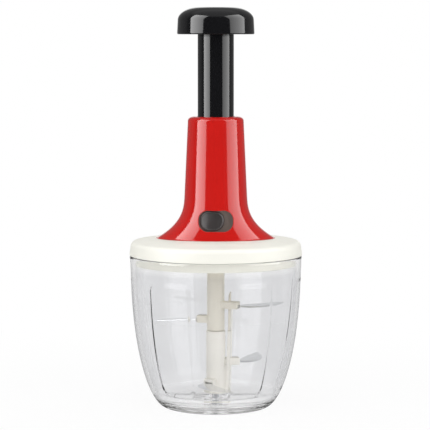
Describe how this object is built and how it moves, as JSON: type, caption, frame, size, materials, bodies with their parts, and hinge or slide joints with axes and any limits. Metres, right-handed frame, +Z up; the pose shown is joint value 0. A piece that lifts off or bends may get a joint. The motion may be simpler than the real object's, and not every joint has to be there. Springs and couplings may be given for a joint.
{
  "type": "plunger food chopper",
  "caption": "Hand-press food chopper: clear ribbed bowl with a sickle blade set, cream lid with a flared red neck and lock slide, and a black plunger that spins the blades.",
  "frame": {"origin": "centre of the bowl's foot, on the surface it stands on", "axes": "+Z up along the plunger and blade axis, -Y towards the lock slide at the front, +X to the right of it"},
  "size_m": [0.1226, 0.1226, 0.2833],
  "materials": {
    "clear_bowl": "clear, polished",
    "red_plastic": "glossy",
    "black_plastic": "glossy",
    "cream_plastic": "satin",
    "beige_plastic": "satin",
    "white_plastic": "satin",
    "grey_plastic": "satin",
    "blade_steel": "fine brushed",
    "steel": "plain"
  },
  "bodies": {
    "bowl": {"bowl": "clear_bowl", "pivot_pin": "steel"},
    "blade_set": {"spindle_column": "beige_plastic", "blade_carrier": "white_plastic", "blade_upper_right": "blade_steel", "blade_upper_left": "blade_steel", "blade_lower_right": "blade_steel", "blade_lower_front": "blade_steel"},
    "lid": {"lid": "cream_plastic", "lid_underplate": "beige_plastic", "underplate_screw_1": "steel", "underplate_screw_2": "steel", "underplate_screw_3": "steel", "thrust_washer": "steel", "screw_bearing": "white_plastic", "neck_housing": "red_plastic", "neck_screw_1": "steel", "neck_screw_2": "steel", "neck_screw_3": "steel", "neck_screw_4": "steel", "guide_collar": "white_plastic", "return_spring": "steel", "lock_track": "grey_plastic"},
    "drive_screw": {"drive_screw": "steel", "clutch_driver": "steel", "clutch_pin": "steel"},
    "drive_socket": {"drive_socket": "white_plastic"},
    "plunger": {"plunger_tube": "black_plastic", "drive_nut": "white_plastic", "nut_retainer": "steel", "plunger_knob": "black_plastic", "knob_base": "black_plastic", "knob_screw": "steel"},
    "lock": {"lock_slider": "grey_plastic", "lock_bolt": "steel"}
  },
  "joints": [
    {"name": "lid_lift", "type": "slide", "parent": "bowl", "child": "lid", "axis": [0, 0, 1], "range_m": [0, 0.06]},
    {"name": "plunger_press", "type": "slide", "parent": "lid", "child": "plunger", "axis": [0, 0, 1], "range_m": [-0.054, 0], "stiffness_N_per_m": 130, "springref_m": 0.05, "deforming": ["return_spring"]},
    {"name": "screw_spin", "type": "hinge", "parent": "lid", "child": "drive_screw", "pos_m": [0, 0, 0.12], "axis": [0, 0, 1], "continuous": true},
    {"name": "socket_spin", "type": "hinge", "parent": "lid", "child": "drive_socket", "pos_m": [0, 0, 0.107], "axis": [0, 0, 1], "continuous": true},
    {"name": "blade_spin", "type": "hinge", "parent": "bowl", "child": "blade_set", "pos_m": [0, 0, 0.012], "axis": [0, 0, 1], "continuous": true},
    {"name": "lock_slide", "type": "hinge", "parent": "lid", "child": "lock", "pos_m": [0, 0, 0.134], "axis": [0, 0, 1], "range_deg": [0, 16]}
  ],
  "couplings": [
    {"joint": "screw_spin", "follows": "plunger_press", "rad_per_m": 232.71},
    {"joint": "socket_spin", "follows": "plunger_press", "rad_per_m": 232.71},
    {"joint": "blade_spin", "follows": "plunger_press", "rad_per_m": 232.71}
  ]
}
